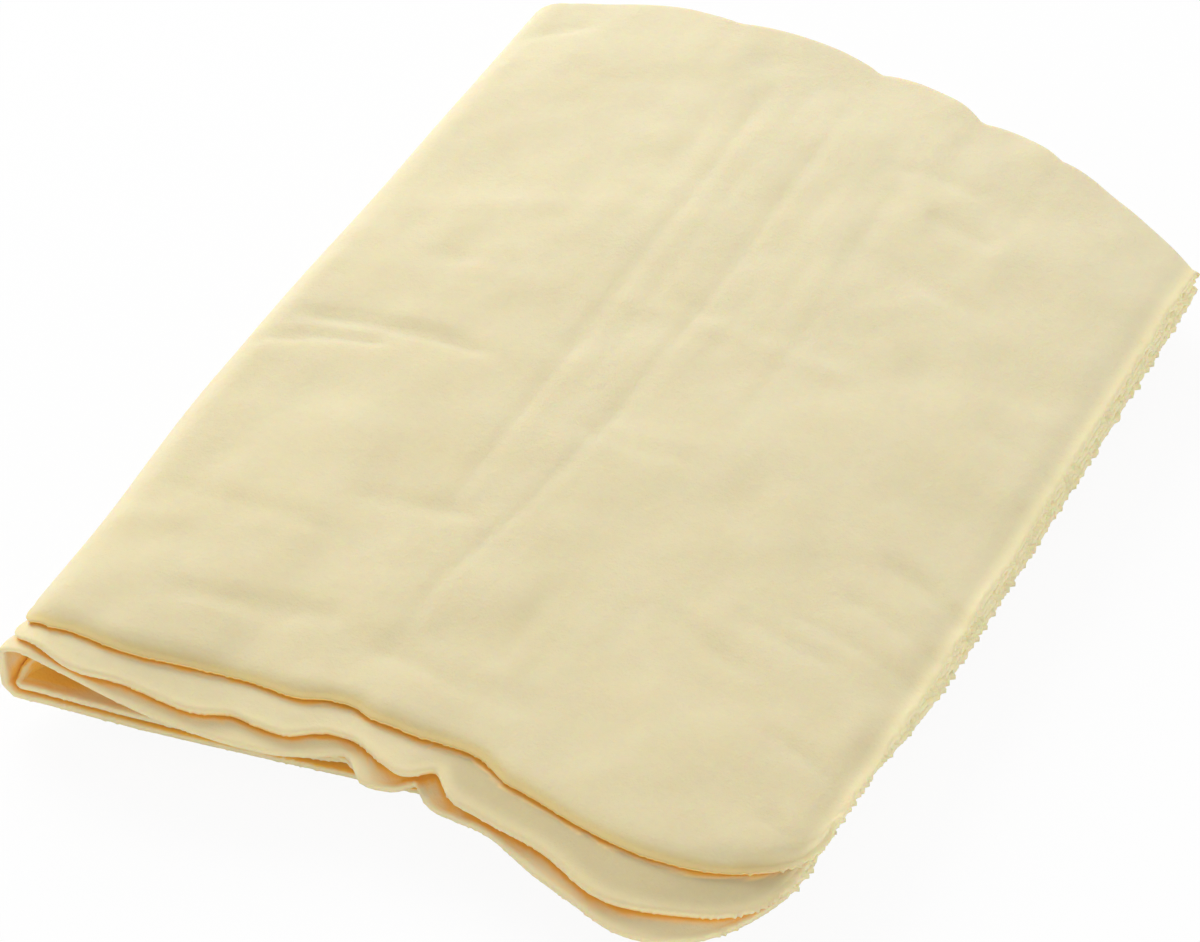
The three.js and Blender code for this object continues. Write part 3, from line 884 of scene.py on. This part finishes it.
def chamois_material(colours):
    """Soft matte chamois: an even nap, faint blotches, and a deeper painted shade where layers close in.
    """
    material = bpy.data.materials.new("chamois_suede")
    material.use_nodes = True
    shader = Shader(material.node_tree)
    skin = shader.node("BsdfPrincipled")
    shader.link(skin.outputs[0], shader.node("OutputMaterial").inputs["Surface"])
    place = shader.node("TexCoord").outputs["Object"]
    shader.link(chamois_colour(shader, place, colours), skin.inputs["Base Color"])
    shader.link(chamois_nap(shader, place), skin.inputs["Normal"])
    for name, value in SUEDE.items():
        skin.inputs[name].default_value = value
    skin.inputs["Sheen Tint"].default_value = (*colours.face, 1)
    return material


def seen_plainly(shader):
    """1 for what the camera sees, also in reflections and through glass, and 0 for light."""
    path = shader.node("LightPath")
    seen = shader.math("MAXIMUM", path.outputs["Is Camera Ray"], path.outputs["Is Glossy Ray"])
    return shader.math("MAXIMUM", seen, path.outputs["Is Transmission Ray"])


def make_floor(stage):
    """A pale floor that keeps the cloth's shadow under nearly plain white."""
    bpy.ops.mesh.primitive_plane_add(size=stage.floor_size, location=(0, 0, -FLOOR_GAP))
    floor = bpy.context.object
    floor.name = "floor"
    material = bpy.data.materials.new("pale_floor")
    material.use_nodes = True
    shader = Shader(material.node_tree)
    paint = shader.node("BsdfDiffuse")
    paint.inputs["Color"].default_value = FLOOR_PAINT
    white = shader.node("Emission")
    white.inputs["Color"].default_value = WHITE
    white.inputs["Strength"].default_value = 1
    share = shader.math("MULTIPLY", seen_plainly(shader), stage.floor_whiteness)
    shown = shader.node("MixShader")
    shader.put(shown.inputs, (share, paint.outputs[0], white.outputs[0]))
    shader.link(shown.outputs[0], shader.node("OutputMaterial").inputs["Surface"])
    floor.data.materials.append(material)


def make_world(stage):
    """Even light from all round, with plain white shown in its place."""
    world = bpy.data.worlds.new("studio")
    bpy.context.scene.world = world
    world.use_nodes = True
    shader = Shader(world.node_tree)
    dome = shader.node("Background")
    dome.inputs["Color"].default_value = WHITE
    dome.inputs["Strength"].default_value = stage.dome
    white = shader.node("Background")
    white.inputs["Color"].default_value = WHITE
    shown = shader.node("MixShader")
    shader.put(shown.inputs, (seen_plainly(shader), dome.outputs[0], white.outputs[0]))
    shader.link(shown.outputs[0], shader.node("OutputWorld").inputs["Surface"])


def make_lamp(name, place, size, power):
    """A soft square lamp that faces the object."""
    bpy.ops.object.light_add(type="AREA", location=place)
    lamp = bpy.context.object
    lamp.name = name
    lamp.data.size = size
    lamp.data.energy = power
    lamp.rotation_euler = (-Vector(place)).to_track_quat("-Z", "Y").to_euler()


def make_camera():
    azimuth, elevation = math.radians(CAMERA_AZIMUTH), math.radians(CAMERA_ELEVATION)
    back = Vector((
        math.sin(azimuth) * math.cos(elevation),
        -math.cos(azimuth) * math.cos(elevation),
        math.sin(elevation),
    ))
    place = Vector(CAMERA_TARGET) + back * CAMERA_DISTANCE
    bpy.ops.object.camera_add(location=place, rotation=(math.pi / 2 - elevation, 0, azimuth))
    camera = bpy.context.object
    camera.data.sensor_fit = "HORIZONTAL"
    camera.data.sensor_width = SENSOR_WIDTH
    camera.data.lens = FOCAL_LENGTH
    bpy.context.scene.camera = camera


class ChamoisColours(bpy.types.PropertyGroup):
    """The sheet's colours."""

    face: FloatVectorProperty(
        name="Face", description="Of the open faces", subtype="COLOR", size=3,
        default=(0.8, 0.72, 0.485),
    )
    # Painted shade towards the front, with the tone of the random blotches.
    blotch_and_front_shade: FloatVectorProperty(
        name="Blotch and front shade", description="Of their blotches, and towards the front", subtype="COLOR", size=3,
        default=(0.765, 0.67, 0.42),
    )
    # Painted shade on the inner side near the cut ends.
    inner_side_shade: FloatVectorProperty(
        name="Inner side shade", description="Of the inner side near the cut ends", subtype="COLOR", size=3,
        default=(0.635, 0.54, 0.315),
    )
    # The cut edge's own yellower tone, made lighter as painted light on the cut faces.
    cut: FloatVectorProperty(
        name="Cut", description="Of the cut edge's face", subtype="COLOR", size=3,
        default=(0.85, 0.75, 0.45),
    )
    # Painted shade on the top layer's rolled front edge.
    rolled: FloatVectorProperty(
        name="Rolled edge shade", description="Of the top layer's rolled front edge", subtype="COLOR", size=3,
        default=(0.7, 0.56, 0.26),
    )
    fuzz: FloatVectorProperty(
        name="Fuzz", description="Of the fuzz on the cut ends", subtype="COLOR", size=3,
        default=(0.92, 0.82, 0.51),
    )
    # Painted shade and bounced light between the layers: warm where they begin to close in, deep orange
    # further in.
    warm: FloatVectorProperty(
        name="Warm", description="Where the layers begin to close in", subtype="COLOR", size=3,
        default=(0.88, 0.67, 0.34),
    )
    fold: FloatVectorProperty(
        name="Fold", description="Deep between the layers", subtype="COLOR", size=3,
        default=(0.97, 0.56, 0.10),
    )


class ChamoisStage(bpy.types.PropertyGroup):
    """The floor and the light."""

    floor_size: FloatProperty(
        name="Floor size", description="Side of the square floor",
        default=6.0, unit="LENGTH",
    )
    floor_whiteness: FloatProperty(
        name="Floor whiteness", description="Share of plain white that the camera sees in the floor",
        default=0.93, subtype="FACTOR",
    )
    dome: FloatProperty(name="Dome", description="Strength of the even light from all round", default=0.50)
    key: FloatProperty(
        name="Key", description="Power of the soft lamp at the left, behind",
        default=25.7, unit="POWER",
    )
    side: FloatProperty(
        name="Side", description="Power of the weak lamp at the right",
        default=3.5, unit="POWER",
    )
    front: FloatProperty(
        name="Front", description="Power of the low soft lamp in front",
        default=3.8, unit="POWER",
    )


class ChamoisSizes(bpy.types.PropertyGroup):
    """The sheet's sizes."""

    sheet_length: FloatProperty(
        name="Sheet length", description="Flat, along the last two folds' run",
        default=660 * MM, unit="LENGTH",
    )
    sheet_width: FloatProperty(
        name="Sheet width", description="Flat, across the first fold",
        default=432 * MM, unit="LENGTH",
    )
    thickness: FloatProperty(
        name="Thickness", description="Of the sheet",
        default=2 * MM, unit="LENGTH", precision=4,
    )
    layer_gap: FloatProperty(
        name="Layer gap", description="Between layers that lie on each other",
        default=0.3 * MM, unit="LENGTH", precision=4,
    )
    corner_radius: FloatProperty(
        name="Corner radius", description="Of the sheet's rounded corners",
        default=32 * MM, unit="LENGTH",
    )
    loop_lift: FloatProperty(
        name="Loop lift", description="How far the last fold stands open at the front",
        default=6.5 * MM, unit="LENGTH", precision=4,
    )
    tooth_pitch: FloatProperty(
        name="Tooth pitch", description="Of the cut edge",
        default=2 * MM, unit="LENGTH", precision=4,
    )
    tooth_depth: FloatProperty(
        name="Tooth depth", description="Of the cut edge",
        default=0.4 * MM, unit="LENGTH", precision=4,
    )
    relief: FloatProperty(
        name="Relief", description="Strength of the marks and wrinkles",
        default=2.8, subtype="FACTOR",
    )


class CHAMOIS_OT_sheet(bpy.types.Operator):
    """Makes the folded sheet."""

    bl_idname = "chamois.sheet"
    bl_label = "Folded sheet"

    def execute(self, context):
        sizes = context.scene.chamois_sizes
        piece = make_sheet(sizes)
        piece.data.materials.append(chamois_material(context.scene.chamois_colours))
        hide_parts(NODE)
        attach(piece, BODY)
        return {"FINISHED"}


class CHAMOIS_OT_stage(bpy.types.Operator):
    """Makes the floor, the light and the camera."""

    bl_idname = "chamois.stage"
    bl_label = "Stage"

    def execute(self, context):
        stage = context.scene.chamois_stage
        make_floor(stage)
        make_world(stage)
        make_lamp("key_lamp", KEY_PLACE, KEY_SIZE, stage.key)
        make_lamp("side_lamp", SIDE_PLACE, SIDE_SIZE, stage.side)
        make_lamp("front_lamp", FRONT_PLACE, FRONT_SIZE, stage.front)
        make_camera()
        context.scene.view_settings.view_transform = "Standard"
        return {"FINISHED"}


class CHAMOIS_PT_panel(bpy.types.Panel):
    """Lists the settings, and the operators that make the sheet and the stage from them."""

    bl_idname = "CHAMOIS_PT_panel"
    bl_label = "Chamois"
    bl_space_type = "VIEW_3D"
    bl_region_type = "UI"
    bl_category = "Chamois"

    def draw(self, context):
        scene = context.scene
        groups = [
            (scene.chamois_sizes, None),
            (scene.chamois_colours, CHAMOIS_OT_sheet),
            (scene.chamois_stage, CHAMOIS_OT_stage),
        ]
        for settings, operator in groups:
            column = self.layout.column()
            for name in type(settings).__annotations__:
                column.prop(settings, name)
            if operator:
                column.operator(operator.bl_idname)


CLASSES = [
    ChamoisSizes, ChamoisColours, ChamoisStage, CHAMOIS_OT_sheet, CHAMOIS_OT_stage, CHAMOIS_PT_panel,
]


def register():
    for made in CLASSES:
        bpy.utils.register_class(made)
    bpy.types.Scene.chamois_sizes = PointerProperty(type=ChamoisSizes)
    bpy.types.Scene.chamois_colours = PointerProperty(type=ChamoisColours)
    bpy.types.Scene.chamois_stage = PointerProperty(type=ChamoisStage)


def unregister():
    del bpy.types.Scene.chamois_stage
    del bpy.types.Scene.chamois_colours
    del bpy.types.Scene.chamois_sizes
    for made in reversed(CLASSES):
        bpy.utils.unregister_class(made)


def main():
    register()
    bpy.ops.chamois.stage()
    bpy.ops.chamois.sheet()
    bpy.context.view_layer.update()


if __name__ == "__main__":
    main()
